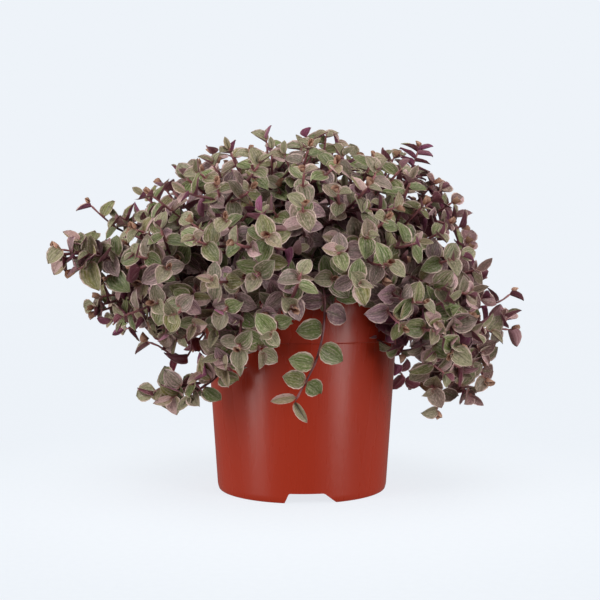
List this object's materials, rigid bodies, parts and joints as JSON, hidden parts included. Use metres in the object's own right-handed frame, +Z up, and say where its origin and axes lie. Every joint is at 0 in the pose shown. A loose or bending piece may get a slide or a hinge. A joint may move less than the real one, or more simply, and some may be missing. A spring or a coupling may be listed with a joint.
{
  "type": "potted rosato callisia",
  "caption": "Trailing pot plant: a mound of small striped leaves on thin forking stems that spills over a round, tapered nursery pot with a deep rim band.",
  "frame": {"origin": "centre of the pot's foot, on the surface that the pot stands on", "axes": "+Z up along the pot's axis, -Y towards the viewer of the picture, +X to the viewer's right"},
  "size_m": [0.2885, 0.2455, 0.2224],
  "materials": {
    "pot": "satin moulded plastic, terracotta red",
    "peat": null,
    "foliage": null
  },
  "bodies": {
    "root": {"pot": "pot", "peat": "peat", "spray_left": "foliage", "sprig_upper_left": "foliage", "sprig_upper_right": "foliage", "sprig_right": "foliage", "sprig_right_low": "foliage", "trailer_right_low": "foliage", "trailer_right": "foliage", "trailer_right_back": "foliage", "trailer_left_low": "foliage", "runner_left": "foliage", "trailer_front": "foliage", "leafy_stem_01": "foliage", "leafy_stem_02": "foliage", "leafy_stem_03": "foliage", "leafy_stem_04": "foliage", "leafy_stem_05": "foliage", "leafy_stem_06": "foliage", "leafy_stem_07": "foliage", "leafy_stem_08": "foliage", "leafy_stem_09": "foliage", "leafy_stem_10": "foliage", "leafy_stem_11": "foliage", "leafy_stem_12": "foliage", "leafy_stem_13": "foliage", "leafy_stem_14": "foliage", "leafy_stem_15": "foliage", "leafy_stem_16": "foliage", "leafy_stem_17": "foliage", "leafy_stem_18": "foliage", "leafy_stem_19": "foliage", "leafy_stem_20": "foliage", "leafy_stem_21": "foliage", "leafy_stem_22": "foliage", "leafy_stem_23": "foliage", "leafy_stem_24": "foliage", "leafy_stem_25": "foliage", "leafy_stem_26": "foliage", "leafy_stem_27": "foliage", "leafy_stem_28": "foliage", "leafy_stem_29": "foliage", "leafy_stem_30": "foliage"}
  },
  "joints": []
}
